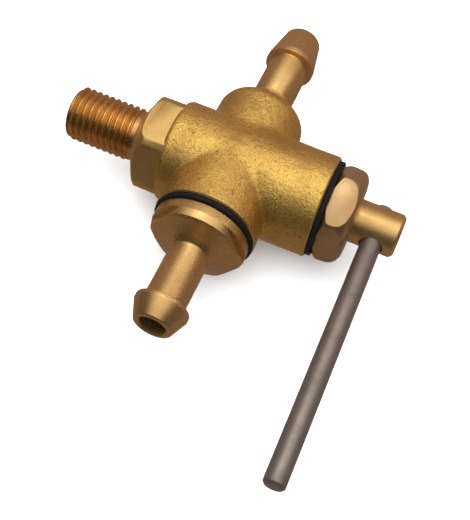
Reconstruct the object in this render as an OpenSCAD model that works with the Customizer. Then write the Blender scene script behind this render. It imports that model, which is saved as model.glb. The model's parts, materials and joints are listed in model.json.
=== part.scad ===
// Three-way plug valve for a liquid line, all in brass.
// A threaded spigot screws into a tank, two hose tails stand across the barrel,
// and a cross rod turns the plug a quarter turn between open and shut.
// The origin is on the spigot's axis, at the hexagon face that seats on the tank.
// +X runs along the barrel to the spindle, +Y along the branches to the fixed tail.

/* [Tank spigot] */
// Nominal diameter of the tank thread
thread_d = 12; // [10:0.5:14]
// Pitch of the tank thread
thread_pitch = 1.5; // [1:0.25:2]
// Length of the spigot from the seat to its end
spigot_len = 16.2; // [12:0.1:22]
// Plain length of the spigot next to the seat
spigot_neck = 1.3; // [1:0.1:3]
// Bore of the spigot
inlet_bore_d = 6; // [4:0.1:7]
// Size across the flats of the body's hexagon
body_hex_af = 20; // [18:0.1:22]
// Length of the body's hexagon
body_hex_len = 7.4; // [6:0.1:10]
// Bevel round the hexagon's seat face
body_hex_bevel = 3; // [1:0.1:4]
// Angle of the hexagon about the barrel axis, in degrees
body_hex_turn = 39; // [0:1:60]

/* [Barrel] */
// Outside diameter of the barrel
barrel_d = 22.5; // [21:0.1:28]
// Distance from the seat to the branch axis
branch_x = 21.6; // [20:0.1:28]
// Distance from the branch axis to the gland face
gland_reach = 20.7; // [20.2:0.1:28]
// Rounding of the barrel's tank end
barrel_round = 1.4; // [0.5:0.1:2]

/* [Front boss] */
// Outside diameter of the front boss
front_boss_d = 22.4; // [21:0.1:27]
// Distance from the barrel axis to the front boss face
front_reach = 15.6; // [15:0.1:22]

/* [Back boss] */
// Outside diameter of the back boss
back_boss_d = 19.9; // [18:0.1:24]
// Distance from the barrel axis to the top of the back boss
back_reach = 18.4; // [17:0.1:24]
// Rounding of the back boss's shoulder
back_round = 3.7; // [1:0.1:6]

/* [Hose tails] */
// Outside diameter of the front tail between its root and its barb
front_tail_d = 8.7; // [8:0.1:10]
// Outside diameter of the back tail between its boss and its barb
back_tail_d = 9.4; // [8:0.1:10]
// Bore of a tail
tail_bore_d = 5.8; // [5.8:0.1:6.6]
// Largest diameter of the barb
barb_d = 11.6; // [10.5:0.1:12.5]
// Length of the sloping back of the barb
barb_back = 0.4; // [0.2:0.1:1]
// Length of the straight land on the front barb
front_land = 0.7; // [0.3:0.1:1.5]
// Length of the straight land on the back barb
back_land = 1.3; // [0.3:0.1:2]
// Length of the front barb's taper to its tip
front_taper = 4.1; // [3:0.1:10]
// Length of the back barb's taper to its tip
back_taper = 8.2; // [3:0.1:10]
// Diameter of a tip
tip_d = 8.2; // [7.6:0.1:8.8]
// Plain length of the back tail, from its boss to its barb
back_tail_len = 15.1; // [10:0.1:20]
// Plain length of the front tail, from its head to its barb
front_tail_len = 12.7; // [8:0.1:16]

/* [Front connector] */
// Thread diameter of the connector's shank
conn_thread_d = 16; // [14:0.5:17]
// Diameter of the connector's round collar
conn_collar_d = 20.9; // [20.8:0.1:23]
// Thickness of the collar
conn_collar_t = 2.2; // [0.5:0.1:3]
// Size across each pair of spanner flats on the connector's head
conn_flats = 18; // [17:0.1:19]
// Diameter of the head where it is left round
conn_head_d = 20.5; // [19.5:0.1:20.8]
// Length of the head before its bevel
conn_head_len = 1.2; // [0.5:0.1:6]
// Length of the bevel on the head's rim
conn_bevel_len = 0.5; // [0.3:0.1:1]
// Length of the cone from the bevel to the tail
conn_cone_len = 2.4; // [2:0.1:5]
// Direction in which the head's round side came to rest, in degrees above +X
conn_turn = 86; // [60:1:120]

/* [Gland nut] */
// Thread diameter of the nut's shank
nut_thread_d = 16; // [15:0.5:17]
// Length of the nut's shank
nut_shank_len = 6.8; // [6:0.1:7]
// Size across the flats of the nut
nut_hex_af = 19; // [18:0.1:21]
// Length of the nut's hexagon
nut_hex_len = 6.1; // [5:0.1:9]
// Rounding of the nut's outer rim
nut_round = 3.3; // [1:0.1:3.6]
// Bevel of the nut's inner rim
nut_bevel = 1.2; // [0.3:0.1:1.5]
// Angle at which the nut came tight, in degrees
nut_turn = -8; // [-30:1:30]

/* [Flat seals] */
// Thickness of the seal under the gland nut
gland_seal_t = 1.2; // [0.8:0.1:2]
// Outside diameter of the seal under the gland nut
gland_seal_d = 21.2; // [20:0.1:22]
// Thickness of the seal under the connector
conn_seal_t = 1.1; // [0.8:0.1:2]
// Outside diameter of the seal under the connector
conn_seal_d = 22; // [21:0.1:24]

/* [Spindle] */
// Diameter of the spindle
spindle_d = 9.6; // [8.5:0.1:10.4]
// Length of the spindle past the gland nut
spindle_out = 10; // [9:0.1:16]
// Bevel on the spindle's end
spindle_bevel = 0.7; // [0.2:0.1:1.2]
// Length of the flange that holds the spindle in
flange_len = 3.65; // [3.2:0.05:4.5]
// Thickness of the tongue that turns the plug
tongue_t = 4; // [3:0.1:5]
// Length of the tongue
tongue_len = 3.4; // [2.5:0.1:3.8]

/* [Plug] */
// Diameter of the plug
plug_d = 11.4; // [10.5:0.1:12.5]
// Diameter of the plug's cross port and inlet port
plug_port_d = 6; // [5:0.1:6.5]
// Distance from the branch axis to the plug's tank end
plug_reach = 10.4; // [9:0.1:10.6]

/* [Handle rod] */
// Diameter of the rod
rod_d = 4.5; // [3.5:0.1:5.5]
// Reach of the rod from the spindle axis
rod_reach = 60.5; // [40:0.5:80]
// How far the rod stands out of the far side of the spindle
rod_stub = 0.2; // [0:0.1:4]
// Distance from the spindle's end to the rod's axis
rod_inset = 5; // [4:0.1:6]
// Bevel on the rod's ends
rod_bevel = 0.5; // [0.2:0.1:1]

/* [Seats] */
// Outside diameter of a seat ring
seat_d = 11.2; // [10:0.1:12]
// Distance from the barrel axis to the tips of a seat ring's horns
seat_horn = 1.5; // [1:0.1:3]
// Bore of a seat ring
seat_bore_d = 6; // [5.5:0.1:6.5]
// Distance from the barrel axis to the back of a seat ring
seat_reach = 9.2; // [8.6:0.1:9.6]
// Thickness of the O-ring behind a seat, as squeezed
seat_oring_t = 1.6; // [1.2:0.1:1.8]

/* [Spindle O-rings and washers] */
// Cord of a spindle O-ring
oring_cord = 1.8; // [1.5:0.1:2]
// Squeeze of an O-ring, as a share of its cord
oring_squeeze = 0.2; // [0.1:0.05:0.3]
// Distance between the two spindle O-rings
oring_gap = 4; // [3:0.1:5]
// Thickness of the thrust washer
thrust_t = 1; // [0.6:0.1:1.5]
// Thickness of the washer at the plug's tank end
bottom_t = 0.8; // [0.5:0.1:1]
// Thickness of one disc spring
disc_t = 0.4; // [0.3:0.05:0.5]
// Height of one disc spring, as fitted
disc_h = 0.7; // [0.6:0.05:0.9]

/* [Stop pin] */
// Diameter of the stop pin
stop_d = 2.4; // [2:0.1:2.8]
// Depth of the groove that the stop pin runs in
stop_depth = 1.4; // [1:0.1:2]
// Turn that the groove allows, in degrees
stop_turn = 90; // [60:5:120]

/* [Clearances] */
// Radial clearance of a turning fit
run_gap = 0.03; // [0.02:0.01:0.08]
// Radial clearance between screwed or pushed-in pieces
fit_gap = 0.05; // [0.02:0.01:0.1]

/* [Hidden] */
$fn = 96;
// How far a cutter or a buried end runs past what it cuts or joins
over = 1;
// Radius turned off the corners of each hexagon
corner_trim = 0.15;

// Places along the barrel axis
gland_x = branch_x + gland_reach;
nut_x = gland_x + gland_seal_t;
nut_end_x = nut_x + nut_hex_len;
spindle_end_x = nut_end_x + spindle_out;
rod_x = spindle_end_x - rod_inset;
shank_x = nut_x - nut_shank_len;
thrust_x = shank_x - thrust_t;
flange_x = thrust_x - run_gap - flange_len;
plug_end_x = flange_x - fit_gap;
plug_x = branch_x - plug_reach;
bottom_x = plug_x - run_gap - bottom_t;
chamber_x = bottom_x - 2 * disc_h;
stop_x = flange_x + flange_len / 2;

// Places along the branch axis, counted outwards
step_y = seat_reach + seat_oring_t;
conn_face_y = front_reach + conn_seal_t;
conn_head_y = conn_face_y + conn_collar_t;
conn_cone_y = conn_head_y + conn_head_len;
conn_root_y = conn_cone_y + conn_bevel_len + conn_cone_len;
front_barb_y = conn_root_y + front_tail_len;
front_tip_y = front_barb_y + barb_back + front_land + front_taper;
back_barb_y = back_reach + back_tail_len;
back_tip_y = back_barb_y + barb_back + back_land + back_taper;

// Radii that pieces share
plug_r = plug_d / 2;
chamber_r = plug_r + run_gap;
spindle_r = spindle_d / 2;
gland_bore_r = nut_thread_d / 2 + fit_gap;
front_bore_r = conn_thread_d / 2 + fit_gap;
pocket_r = seat_d / 2 + fit_gap;
nut_bore_r = spindle_r + run_gap;
oring_t = oring_cord * (1 - oring_squeeze);
oring_root_r = nut_bore_r - run_gap / 2 - oring_t;

// Thread form: sharp V with flats on the crest and the root
thread_depth = 0.6134 * thread_pitch;
crest_flat = thread_pitch / 8;
flank = thread_depth * tan(30);
thread_root_r = thread_d / 2 - thread_depth;
ridge_half = flank + crest_flat / 2;
turns = 1 + floor((spigot_len - spigot_neck - 2 * ridge_half) / thread_pitch);

// Points of an arc about a centre, from angle a to angle b
function arc(centre, r, a, b, steps = 10) =
    [for (i = [0 : steps]) let (t = a + (b - a) * i / steps) centre + r * [cos(t), sin(t)]];

// Solids of revolution about the barrel axis and about the branch axis
module about_x() { rotate([0, 90, 0]) rotate_extrude() children(); }
module about_y() { translate([branch_x, 0, 0]) rotate([-90, 0, 0]) rotate_extrude() children(); }

// Straight round bars and holes along X and along Y
module rod_along_x(r, x0, x1) { translate([x0, 0, 0]) rotate([0, 90, 0]) cylinder(r = r, h = x1 - x0); }
module rod_along_y(r, y0, y1) {
    translate([branch_x, y0, 0]) rotate([-90, 0, 0]) cylinder(r = r, h = y1 - y0);
}

// Hexagonal bar along X, given its size across flats
module hex_along_x(af, x0, x1) {
    translate([x0, 0, 0]) rotate([0, 90, 0]) cylinder(r = af / sqrt(3), h = x1 - x0, $fn = 6);
}

// Flat ring about X or Y
module ring_x(r_in, r_out, x0, x1) {
    difference() {
        rod_along_x(r_out, x0, x1);
        rod_along_x(r_in, x0 - over, x1 + over);
    }
}
module ring_y(r_in, r_out, y0, y1) {
    difference() {
        rod_along_y(r_out, y0, y1);
        rod_along_y(r_in, y0 - over, y1 + over);
    }
}

// Outline of a hose tail from y0 to its tip: plain length, land and taper
module tail_outline(d, y0, barb_y, land, tip_y) {
    tip_round = 0.5;
    land_y = barb_y + barb_back;
    polygon(concat(
        [[0, y0], [d / 2, y0], [d / 2, barb_y], [barb_d / 2, land_y], [barb_d / 2, land_y + land]],
        arc([tip_d / 2 - tip_round, tip_y - tip_round], tip_round, 20, 90, 4),
        [[0, tip_y]]));
}

// Spigot with its ridged thread, its bevelled end and its plain neck
module spigot_outline() {
    r = thread_d / 2;
    ridges = [for (i = [turns - 1 : -1 : 0]) let (mid = -spigot_neck - ridge_half - i * thread_pitch)
        each [[thread_root_r, mid - ridge_half], [r, mid - crest_flat / 2],
              [r, mid + crest_flat / 2], [thread_root_r, mid + ridge_half]]];
    polygon(concat(
        [[0, -spigot_len], [thread_root_r, -spigot_len]], ridges,
        [[r, -spigot_neck + flank], [r, over], [0, over]]));
}

module body_hexagon() {
    rim_r = body_hex_af / sqrt(3) - corner_trim;
    intersection() {
        rotate([body_hex_turn, 0, 0]) hex_along_x(body_hex_af, 0, body_hex_len + over);
        about_x() polygon([[0, 0], [rim_r - body_hex_bevel, 0], [rim_r, body_hex_bevel],
            [rim_r, body_hex_len + over], [0, body_hex_len + over]]);
    }
}

module barrel() {
    r = barrel_d / 2;
    about_x() polygon(concat([[0, body_hex_len]],
        arc([r - barrel_round, body_hex_len + barrel_round], barrel_round, -90, 0, 6),
        [[r, gland_x], [0, gland_x]]));
}

module back_branch() {
    r = back_boss_d / 2;
    about_y() polygon(concat([[0, 0], [r, 0]],
        arc([r - back_round, back_reach - back_round], back_round, 0, 90, 10),
        [[0, back_reach]]));
    about_y() tail_outline(back_tail_d, back_boss_d / 2, back_barb_y, back_land, back_tip_y);
}

module stop_bore(r, r0, r1) {
    translate([stop_x, 0, -r1]) cylinder(r = r, h = r1 - r0);
}

module body() {
    color("goldenrod") difference() {
        union() {
            about_x() spigot_outline();
            body_hexagon();
            barrel();
            rod_along_y(front_boss_d / 2, -front_reach, 0);
            back_branch();
        }
        rod_along_x(inlet_bore_d / 2, -spigot_len - over, chamber_x + over);
        rod_along_x(chamber_r, chamber_x, thrust_x + over);
        rod_along_x(gland_bore_r, thrust_x, gland_x + over);
        rod_along_y(pocket_r, -step_y - over, step_y);
        rod_along_y(front_bore_r, -front_reach - over, -step_y);
        rod_along_y(tail_bore_d / 2, 0, back_tip_y + over);
        stop_bore(stop_d / 2 + 0.01, plug_r - stop_depth, barrel_d);
    }
}

module plug() {
    slot_half = tongue_t / 2 + fit_gap;
    slot_x = plug_end_x - tongue_len - fit_gap;
    color("peru") difference() {
        rod_along_x(plug_r, plug_x, plug_end_x);
        rod_along_x(plug_port_d / 2, plug_x - over, branch_x);
        rod_along_y(plug_port_d / 2, -plug_d, plug_d);
        translate([slot_x, -plug_d, -slot_half]) cube([plug_d, 2 * plug_d, 2 * slot_half]);
    }
}

module oring_place(x) {
    ring_x(oring_root_r, spindle_d, x - oring_cord * 0.6, x + oring_cord * 0.6);
}

// Middle of the two O-rings, halfway through the nut
oring_mid_x = (shank_x + nut_end_x) / 2;

module stop_groove() {
    half = stop_d / 2 + fit_gap;
    floor_r = plug_r - stop_depth;
    reach = 2 * plug_d;
    intersection() {
        ring_x(floor_r, plug_d, stop_x - half, stop_x + half);
        translate([stop_x - plug_d, 0, 0]) rotate([90, 0, 90]) linear_extrude(2 * plug_d)
            polygon(concat([[0, 0]], arc([0, 0], reach, -90, stop_turn - 90, 2)));
    }
    for (turn = [0, stop_turn]) rotate([turn, 0, 0])
        translate([stop_x, 0, -plug_d]) cylinder(r = half, h = plug_d - floor_r);
}

module spindle() {
    tongue_r = plug_r - 0.3;
    color("darkgoldenrod") difference() {
        union() {
            rod_along_x(plug_r, flange_x, flange_x + flange_len);
            about_x() polygon([[0, flange_x + over], [spindle_r, flange_x + over],
                [spindle_r, spindle_end_x - spindle_bevel],
                [spindle_r - spindle_bevel, spindle_end_x], [0, spindle_end_x]]);
            intersection() {
                rod_along_x(tongue_r, flange_x - tongue_len, flange_x + over);
                translate([flange_x - tongue_len, -plug_d, -tongue_t / 2])
                    cube([tongue_len + over, 2 * plug_d, tongue_t]);
            }
        }
        stop_groove();
        oring_place(oring_mid_x - oring_gap / 2);
        oring_place(oring_mid_x + oring_gap / 2);
        translate([rod_x, -plug_d, 0]) rotate([-90, 0, 0])
            cylinder(r = rod_d / 2 + 0.01, h = 2 * plug_d);
    }
}

module handle_rod() {
    r = rod_d / 2;
    y0 = -rod_reach;
    y1 = spindle_r + rod_stub;
    color("slategray") translate([rod_x, 0, 0]) rotate([-90, 0, 0]) rotate_extrude()
        polygon([[0, y0], [r - rod_bevel, y0], [r, y0 + rod_bevel],
            [r, y1 - rod_bevel / 2], [r - rod_bevel / 2, y1], [0, y1]]);
}

module gland_nut() {
    corner_r = nut_hex_af / sqrt(3) - corner_trim;
    color("burlywood") difference() {
        union() {
            rod_along_x(nut_thread_d / 2, shank_x, nut_x + over);
            intersection() {
                rotate([nut_turn, 0, 0]) hex_along_x(nut_hex_af, nut_x, nut_end_x);
                about_x() polygon(concat(
                    [[0, nut_x], [corner_r - nut_bevel, nut_x], [corner_r, nut_x + nut_bevel]],
                    arc([corner_r - nut_round, nut_end_x - nut_round], nut_round, 0, 90, 8),
                    [[0, nut_end_x]]));
            }
        }
        rod_along_x(nut_bore_r, shank_x - over, nut_end_x + over);
    }
}

module gland_seal() {
    color("black") ring_x(gland_bore_r, gland_seal_d / 2, gland_x, nut_x);
}

module spindle_oring(x) {
    mid_r = nut_bore_r - run_gap / 2 - oring_t / 2;
    color("dimgray") about_x() intersection() {
        translate([mid_r, x]) circle(r = oring_cord / 2);
        translate([mid_r - oring_t / 2, x - oring_cord]) square([oring_t, 2 * oring_cord]);
    }
}
module spindle_oring_inner() { spindle_oring(oring_mid_x - oring_gap / 2); }
module spindle_oring_outer() { spindle_oring(oring_mid_x + oring_gap / 2); }

module thrust_washer() {
    color("ivory") ring_x(spindle_r + 2 * run_gap, gland_bore_r - fit_gap, thrust_x, shank_x);
}

module bottom_washer() {
    color("ivory") ring_x(plug_port_d / 2 + 0.2, plug_r - 0.1, bottom_x, bottom_x + bottom_t);
}

// Cupped spring disc: its hollow side rests at seat_x, and way is +1 or -1 along the barrel
module disc_spring(seat_x, way) {
    r_in = plug_port_d / 2 + 0.3;
    r_out = plug_r - 0.2;
    cup = disc_h - disc_t;
    color("silver") about_x() polygon([[r_in, seat_x], [r_out, seat_x + way * cup],
        [r_out, seat_x + way * disc_h], [r_in, seat_x + way * disc_t]]);
}
module tank_disc_spring() { disc_spring(chamber_x, 1); }
module plug_disc_spring() { disc_spring(bottom_x, -1); }

// Round head with two pairs of spanner flats, sixty degrees either side of its round side
module connector_head() {
    head_r = conn_head_d / 2;
    bevel_r = conn_flats / 2 + corner_trim;
    tail_r = front_tail_d / 2;
    start = conn_head_y - conn_collar_t / 2;
    buried = 0.5;
    buried_y = conn_root_y + buried * conn_cone_len / (bevel_r - tail_r);
    intersection() {
        about_y() polygon([[0, start], [head_r, start], [head_r, conn_cone_y],
            [bevel_r, conn_cone_y + conn_bevel_len], [tail_r - buried, buried_y], [0, buried_y]]);
        spanner_flats(conn_turn - 60);
        spanner_flats(conn_turn + 60);
    }
}
module spanner_flats(turn) {
    translate([branch_x, 0, 0]) rotate([0, -turn, 0]) translate([-conn_flats / 2, 0, -conn_head_d])
        cube([conn_flats, 2 * conn_root_y, 2 * conn_head_d]);
}

module front_connector() {
    color("darkkhaki") mirror([0, 1, 0]) difference() {
        union() {
            rod_along_y(conn_thread_d / 2, step_y, conn_face_y + conn_collar_t / 2);
            rod_along_y(conn_collar_d / 2, conn_face_y, conn_head_y);
            connector_head();
            about_y() tail_outline(front_tail_d, conn_head_y, front_barb_y, front_land, front_tip_y);
        }
        rod_along_y(tail_bore_d / 2, step_y - over, front_tip_y + over);
    }
}

module connector_seal() {
    color("black") ring_y(front_bore_r, conn_seal_d / 2, -conn_face_y, -front_reach);
}

// Seat ring with a hollow face that lies round the plug
module seat_ring() {
    color("white") difference() {
        rod_along_y(seat_d / 2, seat_horn, seat_reach);
        rod_along_y(seat_bore_d / 2, -over, seat_reach + over);
        rod_along_x(chamber_r, branch_x - seat_d, branch_x + seat_d);
    }
}
module back_seat() { seat_ring(); }
module front_seat() { mirror([0, 1, 0]) seat_ring(); }

module seat_oring() {
    cord = seat_oring_t / (1 - oring_squeeze);
    mid_r = seat_d / 2 - cord / 2;
    mid_y = seat_reach + seat_oring_t / 2;
    color("dimgray") about_y() intersection() {
        translate([mid_r, mid_y]) circle(r = cord / 2);
        translate([mid_r - cord, seat_reach]) square([2 * cord, seat_oring_t]);
    }
}
module back_seat_oring() { seat_oring(); }
module front_seat_oring() { mirror([0, 1, 0]) seat_oring(); }

module stop_pin() {
    color("gray") stop_bore(stop_d / 2, plug_r - stop_depth + 0.1, barrel_d / 2 - 0.2);
}

body();
plug();
spindle();
handle_rod();
gland_nut();
gland_seal();
spindle_oring_inner();
spindle_oring_outer();
thrust_washer();
bottom_washer();
tank_disc_spring();
plug_disc_spring();
front_connector();
connector_seal();
front_seat();
back_seat();
front_seat_oring();
back_seat_oring();
stop_pin();
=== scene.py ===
# %% [markdown]
# # A brass plug valve, finished round its CAD frame
#
# The valve is a small three-way tap for a fuel or oil line. A threaded spigot screws into the
# tank, two hose tails stand across a cast barrel, and a steel rod through the spindle turns
# the plug inside. The CAD model holds every piece at its true place and size. This lesson
# gives the pieces that show their real surfaces: soft cast fillets, a cut thread, turned
# faces, worn edges, and a finish for each metal, rubber and plastic.

import json
import math

import bmesh
import bpy
import numpy as np
from mathutils import Matrix, Vector, noise

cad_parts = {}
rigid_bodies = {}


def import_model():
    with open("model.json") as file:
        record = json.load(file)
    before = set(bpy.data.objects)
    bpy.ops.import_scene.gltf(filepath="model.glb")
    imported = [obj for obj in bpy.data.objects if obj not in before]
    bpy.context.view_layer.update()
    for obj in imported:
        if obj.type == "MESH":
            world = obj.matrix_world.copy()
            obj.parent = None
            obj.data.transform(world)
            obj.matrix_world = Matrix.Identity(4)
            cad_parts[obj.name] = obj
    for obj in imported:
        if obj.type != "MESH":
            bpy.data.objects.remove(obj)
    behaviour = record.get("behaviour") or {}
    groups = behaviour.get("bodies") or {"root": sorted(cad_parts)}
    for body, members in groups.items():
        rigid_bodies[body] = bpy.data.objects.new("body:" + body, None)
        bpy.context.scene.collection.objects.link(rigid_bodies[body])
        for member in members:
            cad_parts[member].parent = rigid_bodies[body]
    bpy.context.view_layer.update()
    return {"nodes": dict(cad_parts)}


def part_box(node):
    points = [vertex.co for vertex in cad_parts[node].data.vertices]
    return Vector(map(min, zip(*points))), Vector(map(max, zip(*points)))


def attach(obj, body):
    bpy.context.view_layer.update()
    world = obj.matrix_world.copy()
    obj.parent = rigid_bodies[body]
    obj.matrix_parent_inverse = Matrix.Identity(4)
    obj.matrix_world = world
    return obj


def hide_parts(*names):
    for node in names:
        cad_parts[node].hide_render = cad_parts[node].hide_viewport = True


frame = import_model()
MM = 0.001
X, Y, Z = range(3)


def low(node, axis):
    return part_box(node)[0][axis] / MM


def high(node, axis):
    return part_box(node)[1][axis] / MM


def middle(node, axis):
    return (low(node, axis) + high(node, axis)) / 2


spigot_end = low("body", X)
gland_face = high("body", X)
front_face = low("body", Y)
back_tip = high("body", Y)
branch_x = middle("front_connector", X)
rod_x = middle("handle_rod", X)
nut_face = high("gland_seal", X)
collar_face = low("connector_seal", Y)
print(f"barrel {spigot_end:.1f} to {gland_face:.1f}, branches cross it at {branch_x:.1f}, rod at {rod_x:.1f}")

# %% [markdown]
# ## The camera
#
# A product shot of a small part is taken from close by with a longish lens. The camera looks
# down on the valve from the side of its screwed tail, turned a little about its own line of
# sight. The picture is taller than it is wide, so the lens is reckoned along its height.

# %% Place the camera
scene = bpy.context.scene
target = Vector((30.4, -20.1, 0)) * MM
distance = 182.9 * MM
azimuth, elevation, roll = (math.radians(a) for a in (-75.24, 58.69, 9.27))
to_camera = Vector((math.cos(elevation) * math.cos(azimuth),
                    math.cos(elevation) * math.sin(azimuth), math.sin(elevation)))
camera = bpy.data.objects.new("camera", bpy.data.cameras.new("camera"))
scene.collection.objects.link(camera)
turn_to_target = to_camera.to_track_quat("Z", "Y").to_matrix().to_4x4()
camera.matrix_world = (Matrix.Translation(target + to_camera * distance)
                       @ turn_to_target @ Matrix.Rotation(roll, 4, "Z"))
camera.data.sensor_width = 36
camera.data.lens = 62.308
camera.data.clip_start = 0.01
scene.camera = camera
print("camera at", [round(c / MM, 1) for c in camera.matrix_world.translation])

# %% [markdown]
# ## Shader maths written as sums
#
# A finish is a sum of simple layers: cloudy tarnish, cast grain, pits, turning marks. A small
# class stands for one output of a shader node, so that `grain * 0.4 + marks` adds the Math
# nodes by itself. `Shader` has one method that adds any other node, and `Finish` is a shader
# that owns a material and knows each point's place in millimetres.

# %% A signal, and the material that it belongs to
class Signal:
    """One output of a shader node."""

    def __init__(self, shader, socket):
        self.shader = shader
        self.socket = socket

    def math(self, operation, *others, clamp=False):
        settings = {"operation": operation, "use_clamp": clamp}
        return self.shader.node("ShaderNodeMath", settings, dict(enumerate((self, *others))))

    def __add__(self, other):
        return self.math("ADD", other)

    def __sub__(self, other):
        return self.math("SUBTRACT", other)

    def __rsub__(self, other):
        return self.math("MULTIPLY_ADD", -1, other)

    def __mul__(self, other):
        return self.math("MULTIPLY", other)

    __radd__ = __add__
    __rmul__ = __mul__


class Shader:
    """A node tree, built node by node round one last node."""

    def __init__(self, tree, surface):
        self.tree = tree
        self.surface = tree.nodes[surface]

    def node(self, kind, settings=None, inputs=None, output=0):
        made = self.tree.nodes.new(kind)
        for name, value in (settings or {}).items():
            setattr(made, name, value)
        for name, value in (inputs or {}).items():
            if isinstance(value, Signal):
                self.tree.links.new(value.socket, made.inputs[name])
            else:
                made.inputs[name].default_value = value
        return Signal(self, made.outputs[output])

    def vector(self, operation, *values, output=0, **named):
        inputs = {**dict(enumerate(values)), **named}
        return self.node("ShaderNodeVectorMath", {"operation": operation}, inputs, output)

    def step(self, value, start, stop):
        inputs = {"Value": value, "From Min": start, "From Max": stop}
        return self.node("ShaderNodeMapRange", {"interpolation_type": "SMOOTHSTEP"}, inputs)

    def blend(self, factor, first, second):
        colours = [c if isinstance(c, Signal) else (*c, 1) for c in (first, second)]
        inputs = {0: factor, 6: colours[0], 7: colours[1]}
        return self.node("ShaderNodeMix", {"data_type": "RGBA"}, inputs, 2)

    def feed(self, socket, signal):
        self.tree.links.new(signal.socket, self.surface.inputs[socket])


class Finish(Shader):
    """A material with one Principled surface, measured in millimetres."""

    def __init__(self, name, **constants):
        self.material = bpy.data.materials.new(name)
        self.material.use_nodes = True
        super().__init__(self.material.node_tree, "Principled BSDF")
        for socket, value in constants.items():
            self.surface.inputs[socket.replace("_", " ")].default_value = value
        place = self.node("ShaderNodeTexCoord", output="Object")
        self.place = self.vector("SCALE", place, Scale=1 / MM)

    def noise(self, scale, detail=2, roughness=0.5, place=None):
        inputs = {"Vector": place or self.place, "Scale": scale, "Detail": detail, "Roughness": roughness}
        return self.node("ShaderNodeTexNoise", None, inputs)

    def bump(self, height, depth):
        """Raises the surface by depth millimetres where height is 1."""
        self.feed("Normal", self.node("ShaderNodeBump", None, {"Distance": depth * MM, "Height": height}))


# %% [markdown]
# ## Brass, cast and turned
#
# Sand-cast brass that was shot-blasted has fine grain, scattered pits and cloudy colour. A
# turned face has rings that follow the tool, so its pattern is read from two numbers only:
# how far along the turning axis a point lies, and how far out from it. Tarnish is browner
# and rougher than clean metal, so one cloudy signal drives both.

# %% Brass
GOLD = (0.86, 0.56, 0.15)
PALE_GOLD = (0.72, 0.47, 0.19)
TARNISH = (0.36, 0.19, 0.055)


def add_rings(finish, centre, axis, spacing=0.22):
    """Turning marks about an axis, as noise over the places along it and out from it."""
    arm = finish.vector("SUBTRACT", finish.place, tuple(centre))
    along = finish.vector("DOT_PRODUCT", arm, tuple(axis), output="Value")
    foot = finish.vector("SCALE", tuple(axis), Scale=along)
    radius = finish.vector("LENGTH", finish.vector("SUBTRACT", arm, foot), output="Value")
    cut = finish.node("ShaderNodeCombineXYZ", None, {"X": along, "Y": radius})
    return finish.noise(1 / spacing, 3, 0.6, cut)


def brass(name, colour=GOLD, rough=0.3, grain=0.0, pits=0.0, rings=None, ring_depth=0.004,
          tarnish=0.5):
    """Brass whose grain is as deep as it says in millimetres, and dirtier where it is coarse."""
    finish = Finish(name, Metallic=1.0)
    cloud = finish.step(finish.noise(0.16, 3, 0.55), 0.35, 0.75)
    fine = finish.noise(2.6, 3, 0.7)
    hole = finish.step(finish.noise(1.3, 2, 0.7), 0.60, 0.72) * pits
    crevice = finish.step(fine, 0.46, 0.32) * min(grain * 2.5, 0.4)
    dirt = (cloud * tarnish + hole + crevice).math("MINIMUM", 1)
    finish.feed("Base Color", finish.blend(dirt, colour, TARNISH))
    finish.feed("Roughness", fine * 0.16 + dirt * 0.12 + (rough - 0.08))
    height = (fine - 0.5) * grain + finish.noise(0.7, 2) * grain * 0.7 - hole * 0.05
    if rings:
        height = height + add_rings(finish, *rings) * ring_depth
    finish.bump(height, 1)
    return finish.material


barrel_line = ((0, 0, 0), (1, 0, 0))
branch_line = ((branch_x, 0, 0), (0, 1, 0))
cast_brass = brass("cast_brass", rough=0.25, grain=0.15, pits=0.9, tarnish=0.4)
turned_on_barrel = brass("turned_brass_barrel", colour=PALE_GOLD, rough=0.32, grain=0.03,
                         rings=barrel_line, ring_depth=0.006, tarnish=0.3)
turned_on_branch = brass("turned_brass_branch", colour=PALE_GOLD, rough=0.27, grain=0.035,
                         rings=branch_line, ring_depth=0.007, tarnish=0.3)
hexagon_brass = brass("hexagon_brass", colour=(0.64, 0.42, 0.15), rough=0.36, grain=0.03,
                      pits=0.3, tarnish=0.3)
thread_brass = brass("thread_brass", colour=(0.76, 0.44, 0.15), rough=0.24, grain=0.02,
                     rings=barrel_line)
nut_brass = brass("nut_brass", colour=(0.52, 0.35, 0.18), rough=0.32, grain=0.015,
                  rings=barrel_line)
print("brass finishes made")

# %% Steel, rubber and the white plastic of the seats
def steel(name, colour, rough, rings):
    finish = Finish(name, Metallic=1.0)
    cloud = finish.step(finish.noise(0.2, 4, 0.6), 0.3, 0.8)
    finish.feed("Base Color", finish.blend(cloud, colour, tuple(c * 0.72 for c in colour)))
    marks = add_rings(finish, *rings)
    finish.feed("Roughness", cloud * 0.12 + marks * 0.1 + rough)
    finish.bump(marks * 0.003 + finish.noise(3, 3) * 0.012, 1)
    return finish.material


def soft(name, colour, pale, rough, grain, shine=0.5):
    finish = Finish(name, Specular_IOR_Level=shine)
    dust = finish.step(finish.noise(0.7, 4, 0.7), 0.45, 0.85)
    finish.feed("Base Color", finish.blend(dust * 0.5, colour, pale))
    finish.feed("Roughness", dust * 0.2 + rough)
    finish.bump(finish.noise(5, 2) * grain, 1)
    return finish.material


rod_line = ((rod_x, 0, 0), (0, 1, 0))
rod_steel = steel("rod_steel", (0.33, 0.29, 0.26), 0.38, rod_line)
spring_steel = steel("spring_steel", (0.55, 0.55, 0.56), 0.25, barrel_line)
black_rubber = soft("black_rubber", (0.003, 0.003, 0.003), (0.014, 0.012, 0.010), 0.6, 0.01, shine=0.2)
white_ptfe = soft("white_ptfe", (0.86, 0.86, 0.83), (0.70, 0.69, 0.64), 0.42, 0.004)
print("other finishes made")

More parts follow.
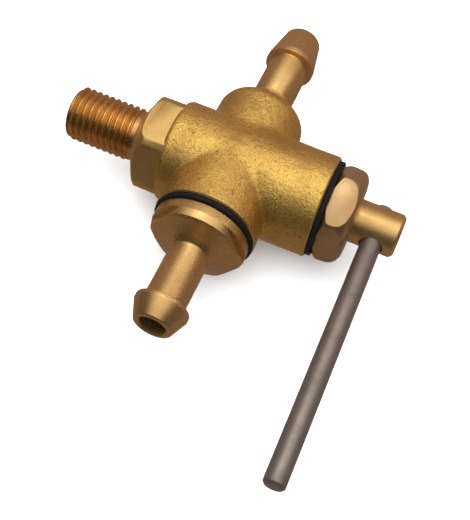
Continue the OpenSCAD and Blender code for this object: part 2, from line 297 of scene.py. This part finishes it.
# %% [markdown]
# ## A lathe
#
# Most of this valve is turned work, so most pieces start as half an outline that is spun
# round a line. Points are (along, radius, rounding): the third number turns a corner into an
# arc. An outline that starts and ends on the axis spins into a closed solid, and one that
# stays off it is closed into a ring first.

# %% Outlines with rounded corners, and the spin
def outline(points, steps=5):
    corners = [Vector(point[:2]) for point in points]
    line = []
    for i, point in enumerate(points):
        if len(point) == 2:
            line.append(corners[i])
            continue
        back = (corners[i - 1] - corners[i]).normalized()
        ahead = (corners[(i + 1) % len(corners)] - corners[i]).normalized()
        half = math.acos(max(-1, min(1, back.dot(ahead)))) / 2
        centre = corners[i] + (back + ahead).normalized() * point[2] / math.sin(half)
        arms = [corners[i] + side * point[2] / math.tan(half) - centre for side in (back, ahead)]
        sweep = arms[0].angle_signed(arms[1])
        for step in range(steps + 1):
            line.append(centre + Matrix.Rotation(-sweep * step / steps, 2) @ arms[0])
    return line


def turned(points, line, steps=96):
    """A solid of revolution about a line, as a bmesh in millimetres."""
    centre, axis = (Vector(v) for v in line)
    side = Vector((0, 0, 1))
    bm = bmesh.new()
    verts = [bm.verts.new(centre + axis * along + side * radius) for along, radius in outline(points)]
    edges = [bm.edges.new(pair) for pair in zip(verts, verts[1:])]
    if points[0][1] > 0:
        edges.append(bm.edges.new((verts[-1], verts[0])))
    bmesh.ops.spin(bm, geom=verts + edges, cent=centre, axis=axis, angle=2 * math.pi,
                   steps=steps, use_merge=True)
    bmesh.ops.remove_doubles(bm, verts=bm.verts, dist=0.0001)
    bmesh.ops.recalc_face_normals(bm, faces=bm.faces)
    return bm


def bar(radius, start, stop, line, lip=0.0):
    """A round bar, or a drill for a hole, whose ends may flare by a lip."""
    if lip:
        return turned([(start, 0), (start, radius + lip), (start + lip, radius),
                       (stop - lip, radius), (stop, radius + lip), (stop, 0)], line)
    return turned([(start, 0), (start, radius), (stop, radius), (stop, 0)], line)


def as_piece(bm, name, material):
    mesh = bpy.data.meshes.new(name)
    bm.to_mesh(mesh)
    bm.free()
    mesh.materials.append(material)
    piece = bpy.data.objects.new(name, mesh)
    scene.collection.objects.link(piece)
    return piece


# %% [markdown]
# ## Joining and cutting
#
# A casting is machined by taking metal away, and the mesh is made the same way: solids are
# added to it, then every drill and facing tool is taken off in one Boolean. The new faces
# keep the tool's own finish, so a bore comes out as turned brass in a cast body.

# %% Boolean joins and cuts, and the last step of each piece
SHARP = math.radians(35)


def settle(piece):
    """Applies the modifiers, so that the mesh holds their result."""
    graph = bpy.context.evaluated_depsgraph_get()
    finished = bpy.data.meshes.new_from_object(piece.evaluated_get(graph))
    piece.modifiers.clear()
    piece.data = finished


def combine(piece, operation, tools):
    tray = bpy.data.collections.new("tools")
    scene.collection.children.link(tray)
    for tool in tools:
        tray.objects.link(tool)
    work = piece.modifiers.new("combine", "BOOLEAN")
    work.operation = operation
    work.operand_type = "COLLECTION"
    work.collection = tray
    work.solver = "EXACT"
    work.material_mode = "TRANSFER"
    settle(piece)
    for tool in tools:
        bpy.data.objects.remove(tool)
    bpy.data.collections.remove(tray)


def break_edges(piece, width, segments=2):
    """Takes the sharpness off every edge, as a file or a tumbling drum does."""
    work = piece.modifiers.new("edges", "BEVEL")
    work.width = width
    work.segments = segments
    work.limit_method = "ANGLE"
    work.angle_limit = math.radians(28)
    work.material = -1
    settle(piece)


def finish_piece(piece, body, node):
    """Brings a piece to metres, marks its sharp edges, and puts it in the frame."""
    bm = bmesh.new()
    bm.from_mesh(piece.data)
    bmesh.ops.remove_doubles(bm, verts=bm.verts, dist=0.0005)
    bmesh.ops.scale(bm, vec=(MM, MM, MM), verts=bm.verts)
    for face in bm.faces:
        face.smooth = True
    for edge in bm.edges:
        edge.smooth = edge.calc_face_angle(0) < SHARP
    bm.to_mesh(piece.data)
    bm.free()
    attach(piece, body)
    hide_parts(node)
    print(piece.name, "has", len(piece.data.polygons), "faces")


# %% [markdown]
# ## Threads
#
# A lathe cuts a thread by moving the tool one pitch for each turn. Spinning one pitch of the
# profile with a step along the axis does the same: the end of one turn lands on the start
# of the next, and merging them gives one continuous ridge. Two planes cut the ends square.

# %% A cut thread as one closed solid
def thread(radius, pitch, start, stop, line, phase=0.0, steps=60):
    depth = 0.61 * pitch
    centre, axis = (Vector(v) for v in line)
    side = Matrix.Rotation(phase, 3, axis) @ Vector((0, 0, 1))
    turns = math.ceil((stop - start) / pitch) + 2
    shape = [(0, -depth), (0.09, -depth), (0.42, -0.06), (0.47, 0), (0.53, 0), (0.58, -0.06),
             (0.91, -depth), (1, -depth)]
    bm = bmesh.new()
    verts = [bm.verts.new(centre + axis * (start + (along - 1) * pitch) + side * (radius + drop))
             for along, drop in shape]
    edges = [bm.edges.new(pair) for pair in zip(verts, verts[1:])]
    bmesh.ops.spin(bm, geom=verts + edges, cent=centre, axis=axis, dvec=axis * pitch / steps,
                   angle=2 * math.pi * turns, steps=steps * turns)
    bmesh.ops.remove_doubles(bm, verts=bm.verts, dist=0.0005)
    for place, way in ((start, -1), (stop, 1)):
        bmesh.ops.bisect_plane(bm, geom=bm.verts[:] + bm.edges[:] + bm.faces[:], dist=0.0001,
                               plane_co=centre + axis * place, plane_no=axis * way, clear_outer=True)
        rim = [e for e in bm.edges if e.is_boundary
               and all(abs((v.co - centre).dot(axis) - place) < 0.01 for v in e.verts)]
        bmesh.ops.edgeloop_fill(bm, edges=rim)
    bmesh.ops.recalc_face_normals(bm, faces=bm.faces)
    return bm


# %% [markdown]
# ## The cast body
#
# The blank is a barrel with a boss on each side. Foundry patterns have no sharp inner
# corners, so the bosses flow into the barrel through fillets. Voxel remeshing turns the
# overlapping bars into one even skin. Each point then moves onto a smooth surface: the
# union of the bars' distance fields, where a circular blend rounds every inner corner. A
# little noise in the field gives the slight waves of a real casting.

# %% Sizes of the casting
barrel_r = 11.25
barrel_start = 7.4
front_boss_r = 11.2
back_boss_r = 9.9
back_boss_top = 18.5
tail_root_r = 4.66
tail_root_end = 25.0
branch_centre = Vector((branch_x, 0, 0))


def bar_distance(places, centre, axis, radius, start, stop, rounding):
    """Distance of each place from a round bar with rounded rims."""
    arm = places - np.array(centre)
    along = arm @ np.array(axis)
    out = np.linalg.norm(arm - along[:, None] * np.array(axis), axis=1)
    over = np.stack([out - radius, np.abs(along - (start + stop) / 2) - (stop - start) / 2], 1) + rounding
    return np.minimum(over.max(1), 0) + np.linalg.norm(np.maximum(over, 0), axis=1) - rounding


def blended(first, second, fillet):
    """The union of two distance fields, with a round fillet where they meet."""
    short = np.maximum(fillet - np.stack([first, second], 1), 0)
    return np.maximum(fillet, np.minimum(first, second)) - np.linalg.norm(short, axis=1)


def casting(places):
    barrel = bar_distance(places, (0, 0, 0), (1, 0, 0), barrel_r, barrel_start, gland_face + 2, 1.2)
    front = bar_distance(places, branch_centre, (0, 1, 0), front_boss_r, front_face - 2, 0, 0.5)
    boss = bar_distance(places, branch_centre, (0, 1, 0), back_boss_r, 0, back_boss_top, 3.6)
    tail = bar_distance(places, branch_centre, (0, 1, 0), tail_root_r, 0, tail_root_end, 0.2)
    skin = blended(barrel, front, 0.5)
    skin = blended(skin, boss, 0.9)
    return blended(skin, tail, 1.4)


# %% The blank, remeshed and drawn onto the smooth skin
bm = bmesh.new()
for bar_mesh in (bar(barrel_r, barrel_start, gland_face + 2, barrel_line),
                 bar(front_boss_r, front_face - 2, 0, branch_line),
                 bar(back_boss_r, 0, back_boss_top, branch_line),
                 bar(tail_root_r, 0, tail_root_end, branch_line)):
    part = bpy.data.meshes.new("part")
    bar_mesh.to_mesh(part)
    bar_mesh.free()
    bm.from_mesh(part)
    bpy.data.meshes.remove(part)
body = as_piece(bm, "valve_body_casting", cast_brass)
remesh = body.modifiers.new("remesh", "REMESH")
remesh.mode = "VOXEL"
remesh.voxel_size = 0.42
settle(body)
places = np.array([v.co for v in body.data.vertices])
waves = np.array([noise.fractal(Vector(p) * 0.13, 1.0, 2.0, 3) for p in places]) * 0.06
for _ in range(6):
    height = casting(places) + waves
    slope = np.stack([casting(places + step) + waves - height for step in np.eye(3) * 0.01], 1) / 0.01
    places -= slope * (height / np.maximum((slope ** 2).sum(1), 0.3))[:, None]
body.data.vertices.foreach_set("co", places.ravel())
body.data.update()
print("casting skin:", len(body.data.polygons), "faces, left off the surface by",
      round(float(np.abs(casting(places) + waves).max()), 3), "mm")

# %% [markdown]
# ## The body's machined ends
#
# The tank end is a hexagon with a wide bevel and a threaded spigot. The back tail is turned
# from the casting, with one barb for the hose. All three are joined to the blank before the
# drills go in.

# %% A hexagon under a turned outline
def hexagon(flats, start, stop, line, turn, envelope, name, material):
    """A hexagonal bar whose ends are turned to an outline."""
    centre, axis = (Vector(v) for v in line)
    bm = bmesh.new()
    bmesh.ops.create_cone(bm, cap_ends=True, segments=6, radius1=flats / math.sqrt(3),
                          radius2=flats / math.sqrt(3), depth=stop - start)
    stand = axis.to_track_quat("Z", "Y").to_matrix().to_4x4()
    place = Matrix.Translation(centre + axis * (start + stop) / 2)
    bmesh.ops.transform(bm, matrix=place @ Matrix.Rotation(math.radians(turn), 4, axis) @ stand,
                        verts=bm.verts)
    piece = as_piece(bm, name, material)
    combine(piece, "INTERSECT", [as_piece(turned(envelope, line), "envelope", material)])
    return piece


body_flats = 20.0
body_flats_turn = 39
hex_corner = barrel_r - 0.1
body_hexagon = hexagon(body_flats, 0, barrel_start + 1.5, barrel_line, body_flats_turn,
                       [(0, 0), (0, 6.3), (2.5, hex_corner, 2.2), (9, hex_corner), (9, 0)],
                       "body_hexagon", hexagon_brass)
break_edges(body_hexagon, 0.7, 4)

# %% The spigot's thread and the turned back tail
spigot_r = 6.0
spigot_root = 5.62
neck = 1.3
crests = thread(spigot_r, 1.5, spigot_end, -neck, barrel_line, phase=math.radians(-90))
spigot = as_piece(crests, "spigot", thread_brass)
combine(spigot, "INTERSECT", [as_piece(turned([
    (spigot_end, 0), (spigot_end, spigot_r - 0.95, 0.2), (spigot_end + 0.8, spigot_r + 0.1),
    (0, spigot_r + 0.1), (0, 0)], barrel_line), "envelope", thread_brass)])
spigot_neck = as_piece(turned([
    (-neck - 0.4, 0), (-neck - 0.4, 5.0), (-neck, spigot_root), (0, spigot_root, 0.3),
    (0, spigot_root + 0.5), (0.5, spigot_root + 0.5), (0.5, 0)], barrel_line),
    "spigot_neck", thread_brass)

back_barb = 33.5
back_tail_r = 4.7
barb_r = 5.8
back_tail = as_piece(turned([
    (21.5, 0), (21.5, back_tail_r - 0.3), (22.1, back_tail_r), (back_barb, back_tail_r, 0.25),
    (back_barb + 0.3, barb_r, 0.12), (back_barb + 1.6, barb_r, 0.8),
    (back_tip, 4.3, 1.0), (back_tip, 0)], branch_line), "back_tail", turned_on_branch)
combine(body, "UNION", [body_hexagon, spigot, spigot_neck, back_tail])
print("joined body:", len(body.data.polygons), "faces")

# %% [markdown]
# Every bore is a drill with its own finish, and a facing tool takes the two seal faces down
# to size with a fine chamfer on their rims.

# %% Drill and face the body
gland_bore_r = 8.05
chamber_r = 5.73
pocket_r = 5.65
tail_bore_r = 2.9
inlet_r = 3.0
thrust_x = low("thrust_washer", X)
chamber_x = low("tank_disc_spring", X)
pocket_y = high("back_seat_oring", Y)


def facing_tool(face, radius, line, way):
    """A ring and disc that face a boss square and chamfer its rim."""
    chamfer = 0.3
    low_side = face - way * chamfer * 1.5
    high_side = face + way * 5
    return turned([(face, 0), (face, radius - chamfer), (low_side, radius + 0.5 * chamfer),
                   (low_side, radius + 4), (high_side, radius + 4), (high_side, 0)], line)


cuts = [
    (facing_tool(gland_face, barrel_r, barrel_line, 1), turned_on_barrel),
    (facing_tool(front_face, front_boss_r, branch_line, -1), turned_on_branch),
    (bar(inlet_r, spigot_end - 0.4, chamber_x + 1, barrel_line, lip=0.8), turned_on_barrel),
    (bar(chamber_r, chamber_x, thrust_x + 1, barrel_line), turned_on_barrel),
    (bar(gland_bore_r, thrust_x, gland_face + 0.4, barrel_line, lip=0.7), turned_on_barrel),
    (bar(pocket_r, -pocket_y - 1, pocket_y, branch_line), turned_on_branch),
    (bar(gland_bore_r, front_face - 0.4, -pocket_y, branch_line, lip=0.7), turned_on_branch),
    (bar(tail_bore_r, 0, back_tip + 0.4, branch_line, lip=0.7), turned_on_branch),
]
combine(body, "DIFFERENCE", [as_piece(tool, "tool", finish) for tool, finish in cuts])
finish_piece(body, "valve_body", "body")

# %% [markdown]
# ## The front connector
#
# The connector is turned from bar: a threaded shank in the body, a thick round collar on the
# flat seal, a slightly smaller head, a cone down to the tail, and the barb. Two pairs of
# spanner flats are milled across the head afterwards, so it stays round on its upper side
# and steps down sharply where a flat begins.

# %% A block, for milling cuts
def block(start, stop, turn=None):
    """A rectangular block between two corners, which may be turned about the branch line."""
    start, stop = Vector(start), Vector(stop)
    bm = bmesh.new()
    bmesh.ops.create_cube(bm, size=1)
    bmesh.ops.scale(bm, vec=stop - start, verts=bm.verts)
    bmesh.ops.translate(bm, vec=(start + stop) / 2, verts=bm.verts)
    if turn is not None:
        bmesh.ops.transform(bm, matrix=Matrix.Translation(branch_centre)
                            @ Matrix.Rotation(math.radians(-turn), 4, "Y"), verts=bm.verts)
    return bm


# %% Connector
front_tip = low("front_connector", Y)
front_root = high("front_connector", Y)
collar_end = collar_face - 2.2
head_end = collar_end - 1.6
bevel_end = head_end - 0.3
cone_end = collar_face - 6.3
front_barb = cone_end - 12.7
half_flats = 9.0
flat_turns = (26, 146, 206, 326)
front_tail_r = 4.35
shank_r = 8.0
relief_r = 6.9
connector = as_piece(turned([
    (collar_face - 0.4, 0), (collar_face - 0.4, 10.42), (collar_end, 10.42),
    (head_end, 10.0, 0.15), (bevel_end, half_flats + 0.3, 0.3), (cone_end + 0.4, front_tail_r - 0.4),
    (cone_end + 0.4, 0)], branch_line), "front_connector_turned", turned_on_branch)
mills = [block((half_flats, -30, -14), (14, collar_end + 0.2, 14), turn) for turn in flat_turns]
combine(connector, "DIFFERENCE", [as_piece(mill, "mill", turned_on_branch) for mill in mills])
conn_tail = as_piece(turned([
    (collar_face - 0.5, 0), (collar_face - 0.5, front_tail_r + 2), (cone_end + 1.4, front_tail_r + 2),
    (cone_end, front_tail_r, 0.9), (front_barb, front_tail_r, 0.2), (front_barb - 0.3, barb_r, 0.12),
    (front_barb - 1.1, barb_r, 0.4), (front_tip, 4.1, 0.5), (front_tip, 0)], branch_line),
    "tail", turned_on_branch)
collar = as_piece(turned([
    (collar_end, 0), (collar_end, 10.45), (collar_face, 10.45, 0.4),
    (collar_face, 0)], branch_line), "collar", turned_on_branch)
shank = as_piece(thread(shank_r, 1.5, front_root - 5.0, front_root, branch_line),
                 "shank", turned_on_branch)
relief = as_piece(bar(relief_r, collar_face - 0.2, front_root - 4.9, branch_line),
                  "relief", turned_on_branch)
combine(connector, "UNION", [conn_tail, collar, shank, relief])
drill = bar(tail_bore_r, front_tip - 0.4, front_root + 0.4, branch_line, lip=0.75)
combine(connector, "DIFFERENCE", [as_piece(drill, "drill", turned_on_branch)])
finish_piece(connector, "valve_body", "front_connector")

# %% [markdown]
# ## The gland nut
#
# The nut closes the barrel and carries the spindle. Its outer end is turned to a full dome,
# so each flat ends in an arch. Its shank has the connector's thread and screws into the
# barrel.

# %% Gland nut
nut_end = high("gland_nut", X)
shank_end = low("gland_nut", X)
nut_flats = 19.0
nut_flats_turn = -8
nut_corner = nut_flats / math.sqrt(3) - 0.15
spindle_r = 4.8
nut = hexagon(nut_flats, nut_face, nut_end, barrel_line, nut_flats_turn, [
    (nut_face, 0), (nut_face, nut_corner - 1.2, 0.5), (nut_face + 1.2, nut_corner, 0.8),
    (nut_end, nut_corner, 3.3), (nut_end, 0)], "gland_nut_turned", nut_brass)
break_edges(nut, 0.14)
nut_shank = as_piece(thread(shank_r, 1.5, shank_end, nut_face - 1.5, barrel_line), "shank", nut_brass)
nut_relief = as_piece(bar(relief_r, nut_face - 1.6, nut_face + 0.5, barrel_line), "relief", nut_brass)
combine(nut, "UNION", [nut_shank, nut_relief])
drill = bar(spindle_r + 0.03, shank_end - 0.3, nut_end + 0.3, barrel_line, lip=0.55)
combine(nut, "DIFFERENCE", [as_piece(drill, "drill", nut_brass)])
finish_piece(nut, "valve_body", "gland_nut")

# %% [markdown]
# ## The spindle and its rod
#
# The spindle is one turning: flange, two O-ring grooves, a bevelled end. The tongue that
# turns the plug is milled below the flange, with the groove for the stop pin in its rim. The
# rod is driven through a cross hole near the end.

# %% Spindle
flange_x = low("spindle", X) + 3.4
flange_end = flange_x + 3.65
flange_r = 5.7
spindle_end = high("spindle", X)
rings_x = [middle(node, X) for node in ("spindle_oring_inner", "spindle_oring_outer")]
groove_r = spindle_r - 1.4
groove_half = 1.08
spindle_points = [
    (low("spindle", X), 0), (low("spindle", X), flange_r - 0.3, 0.2), (flange_x, flange_r - 0.3),
    (flange_x, flange_r, 0.1), (flange_end, flange_r, 0.15), (flange_end, spindle_r)]
for ring in rings_x:
    spindle_points += [
        (ring - groove_half, spindle_r, 0.1), (ring - groove_half, groove_r, 0.2),
        (ring + groove_half, groove_r, 0.2), (ring + groove_half, spindle_r, 0.1)]
spindle_points += [
    (spindle_end - 0.7, spindle_r, 0.15), (spindle_end, spindle_r - 0.7, 0.15), (spindle_end, 0)]
spindle = as_piece(turned(spindle_points, barrel_line), "spindle_turned", turned_on_barrel)

tongue = 2.0
stop_x = middle("stop_pin", X)
stop_half = 1.25
groove_floor = high("stop_pin", Z) + 0.1
quarter = turned([(stop_x - stop_half, -groove_floor), (stop_x + stop_half, -groove_floor),
                  (stop_x + stop_half, flange_r + 1), (stop_x - stop_half, flange_r + 1)], barrel_line)
for normal in ((0, -1, 0), (0, 0, 1)):
    bmesh.ops.bisect_plane(quarter, geom=quarter.verts[:] + quarter.edges[:] + quarter.faces[:],
                           plane_co=(0, 0, 0), plane_no=normal, clear_outer=True)
    bmesh.ops.holes_fill(quarter, edges=[e for e in quarter.edges if e.is_boundary])
bmesh.ops.recalc_face_normals(quarter, faces=quarter.faces)
cross_hole = turned([
    (-6, 0), (-6, 3.4), (-spindle_r + 0.55, 2.26), (spindle_r - 0.55, 2.26), (6, 3.4), (6, 0)],
    rod_line)
tools = [quarter, cross_hole,
         block((low("spindle", X) - 1, -7, tongue), (flange_x, 7, 7)),
         block((low("spindle", X) - 1, -7, -7), (flange_x, 7, -tongue))]
combine(spindle, "DIFFERENCE", [as_piece(tool, "tool", turned_on_barrel) for tool in tools])
finish_piece(spindle, "turning_plug", "spindle")

# %% Cross rod
rod_r = 2.25
rod_tip = low("handle_rod", Y)
rod_back = high("handle_rod", Y)
rod = as_piece(turned([
    (rod_tip, 0), (rod_tip, rod_r - 0.5, 0.2), (rod_tip + 0.5, rod_r, 0.3),
    (rod_back - 0.25, rod_r, 0.1), (rod_back, rod_r - 0.25, 0.1), (rod_back, 0)], rod_line),
    "handle_rod_ground", rod_steel)
finish_piece(rod, "turning_plug", "handle_rod")

# %% [markdown]
# ## Seals
#
# The two flat seals are moulded rubber with soft rims, squeezed until they stand slightly
# proud between the metal faces.

# %% Flat seals
def flat_seal(name, node, inner, outer, start, stop, line):
    rim = 0.35
    seal = as_piece(turned([
        (start, inner), (start, outer, rim), (stop, outer, rim), (stop, inner)], line), name, black_rubber)
    finish_piece(seal, "valve_body", node)


flat_seal("gland_seal_ring", "gland_seal", gland_bore_r, high("gland_seal", Z),
          low("gland_seal", X), high("gland_seal", X), barrel_line)
flat_seal("connector_seal_ring", "connector_seal", gland_bore_r, high("connector_seal", Z),
          low("connector_seal", Y), high("connector_seal", Y), branch_line)

# %% [markdown]
# ## The pieces inside
#
# The plug, seats, washers, springs, O-rings and pin keep their CAD shapes, which are already
# right, and take their real finishes.

# %% Finishes for the inner pieces
inside = {
    turned_on_barrel: ["plug"],
    spring_steel: ["tank_disc_spring", "plug_disc_spring", "stop_pin"],
    black_rubber: ["spindle_oring_inner", "spindle_oring_outer", "front_seat_oring", "back_seat_oring"],
    white_ptfe: ["thrust_washer", "bottom_washer", "front_seat", "back_seat"],
}
for material, nodes in inside.items():
    for node in nodes:
        mesh = frame["nodes"][node].data
        mesh.materials.clear()
        mesh.materials.append(material)
print("finished", sum(len(nodes) for nodes in inside.values()), "inner pieces")

# %% [markdown]
# ## Floor and light
#
# A pale floor stands just under the valve. Metal shows what it reflects, so the light is
# planned as a picture that the brass sees: a bright ceiling for the bright bands, a warm back
# wall, and a dark wall behind the camera for the brown ones. Two soft boxes add small
# highlights, and matt surfaces such as the floor see plain white walls.

# %% Floor
floor_mesh = bmesh.new()
bmesh.ops.create_grid(floor_mesh, x_segments=1, y_segments=1, size=2)
floor_z = min(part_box(node)[0].z for node in frame["nodes"])
bmesh.ops.translate(floor_mesh, vec=(0, 0, floor_z), verts=floor_mesh.verts)
pale = Finish("pale_floor", Roughness=0.8)
pale.feed("Base Color", pale.blend(pale.noise(0.02, 3), (0.83, 0.83, 0.83), (0.86, 0.86, 0.86)))
floor = as_piece(floor_mesh, "floor", pale.material)
floor.visible_glossy = False

# %% Lights
def soft_box(name, place, aim, size, power, colour=(1, 1, 1)):
    light = bpy.data.lights.new(name, "AREA")
    light.shape = "RECTANGLE"
    light.size, light.size_y = (s * MM for s in size)
    light.energy = power
    light.color = colour
    lamp = bpy.data.objects.new(name, light)
    lamp.location = Vector(place) * MM
    lamp.rotation_euler = (Vector(place) - Vector(aim)).to_track_quat("Z", "Y").to_euler()
    scene.collection.objects.link(lamp)


centre = (branch_x, -10, 0)
soft_box("overhead_box", (-60, 60, 600), centre, (200, 120), 0.22, (1, 0.97, 0.92))
soft_box("side_strip", (420, 330, 460), centre, (50, 500), 0.12, (1, 0.95, 0.88))
scene.view_settings.view_transform = "Standard"
print("two soft boxes hang over the valve")

# %% Studio walls
world = bpy.data.worlds.new("studio")
scene.world = world
world.use_nodes = True
studio = Shader(world.node_tree, "Background")
toward = studio.node("ShaderNodeTexCoord", output="Generated")
back = studio.vector("DOT_PRODUCT", toward, (0, 1, 0), output="Value")
up = studio.vector("DOT_PRODUCT", toward, (0, 0, 1), output="Value")
walls = studio.blend(studio.step(back, -0.72, 0.75), (0.008, 0.006, 0.004), (0.30, 0.19, 0.17))
walls = studio.blend(studio.step(up, -0.1, -0.5), walls, (0.24, 0.175, 0.15))
walls = studio.blend(studio.step(up, 0.55, 1.0), walls, (1.15, 1.10, 1.0))
in_metal = studio.node("ShaderNodeLightPath", output="Is Glossy Ray")
studio.feed("Color", studio.blend(in_metal, (2.4, 2.4, 2.4), walls))
print("the walls are dark in front and warm behind")
